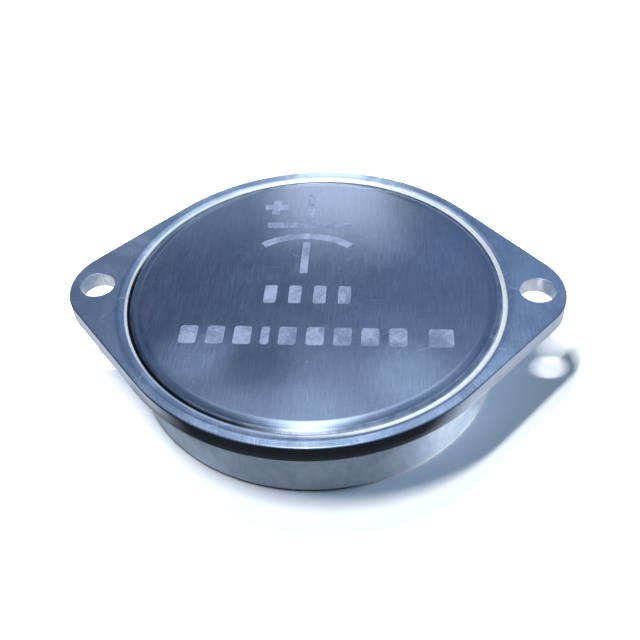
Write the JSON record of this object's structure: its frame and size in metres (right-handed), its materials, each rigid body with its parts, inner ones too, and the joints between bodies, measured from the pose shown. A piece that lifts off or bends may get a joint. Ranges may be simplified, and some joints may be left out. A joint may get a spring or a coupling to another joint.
{
  "type": "tantalum capacitor",
  "caption": "Flat round capacitor in a drawn metal case, with an eared mounting flange level with its closed end and short terminal pins in a dished lid.",
  "frame": {"origin": "middle of the case's open end, in the plane that it stands on", "axes": "+Z out of the case's closed end, X through the two fixing holes, with the negative pin on the +X side"},
  "size_m": [0.0494, 0.0404, 0.0086],
  "materials": {
    "tantalum": "drawn tantalum, blue-grey, with fine straight brushing on the closed end",
    "flange_steel": "stamped and tumbled steel, satin, with faint drag marks",
    "weld_metal": "fused seam, slightly dull",
    "nickel": "bright nickel wire",
    "seal_glass": "dark green sealing glass, fire-polished",
    "ptfe": "waxy white PTFE",
    "cathode_coating": "matt black oxide coating on foil",
    "separator_film": "thin microporous film",
    "sintered_tantalum": "sintered powder, anodised to a dull violet"
  },
  "bodies": {
    "root": {"case_shell": "tantalum", "header_lid": "tantalum", "seal_ferrule": "tantalum", "riser_tube": "tantalum", "riser_wire": "tantalum", "fill_plug": "tantalum", "mounting_flange": "flange_steel", "flange_weld": "weld_metal", "closure_weld": "weld_metal", "positive_pin": "nickel", "negative_pin": "nickel", "glass_seal": "seal_glass", "header_insulator": "ptfe", "riser_bushing": "ptfe", "middle_bushing": "ptfe", "lower_cradle": "ptfe", "upper_cradle": "ptfe", "lower_cathode": "cathode_coating", "middle_cathode": "cathode_coating", "upper_cathode": "cathode_coating", "separator_1": "separator_film", "separator_2": "separator_film", "separator_3": "separator_film", "separator_4": "separator_film", "lower_anode": "sintered_tantalum", "upper_anode": "sintered_tantalum"}
  },
  "joints": []
}
